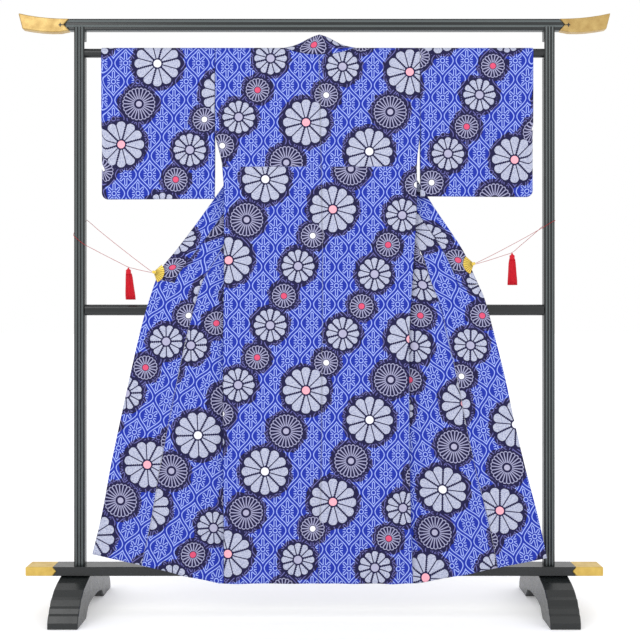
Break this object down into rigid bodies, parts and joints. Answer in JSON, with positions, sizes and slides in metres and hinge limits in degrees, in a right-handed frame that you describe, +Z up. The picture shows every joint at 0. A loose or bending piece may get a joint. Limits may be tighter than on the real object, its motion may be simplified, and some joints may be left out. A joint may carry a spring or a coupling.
{
  "type": "cotton yukata robe on a kimono stand",
  "caption": "Unlined cotton yukata spread open from the back on a lacquered kimono stand, sleeves over a rod, fronts held out by fan clips on corded tassels.",
  "frame": {"origin": "middle of the feet's footprint on the floor, with the stand's mid plane at X = 0", "axes": "+Z up; +X towards the wearer's right sleeve; -Y is the side the robe's back faces"},
  "size_m": [1.7912, 0.4528, 1.8144],
  "materials": {
    "cotton": "royal blue cotton printed with chrysanthemums in pale lilac, navy and pink",
    "lacquer": "black lacquer, semi-gloss",
    "gilt": "gilt, satin",
    "red_silk": "twisted red silk"
  },
  "bodies": {
    "root": {"body_left": "cotton", "body_right": "cotton", "okumi_left": "cotton", "okumi_right": "cotton", "sleeve_left": "cotton", "sleeve_right": "cotton", "collar_band": "cotton", "post_left": "lacquer", "post_right": "lacquer", "top_beam": "lacquer", "beam_cap_left": "gilt", "beam_cap_right": "gilt", "hanging_rod": "lacquer", "middle_bar": "lacquer", "base_board": "lacquer", "board_cap_left": "gilt", "board_cap_right": "gilt", "foot_left": "lacquer", "foot_right": "lacquer", "fan_clip_left": "gilt", "fan_clip_right": "gilt", "cord_left": "red_silk", "cord_right": "red_silk", "tassel_left": "red_silk", "tassel_right": "red_silk"}
  },
  "joints": []
}
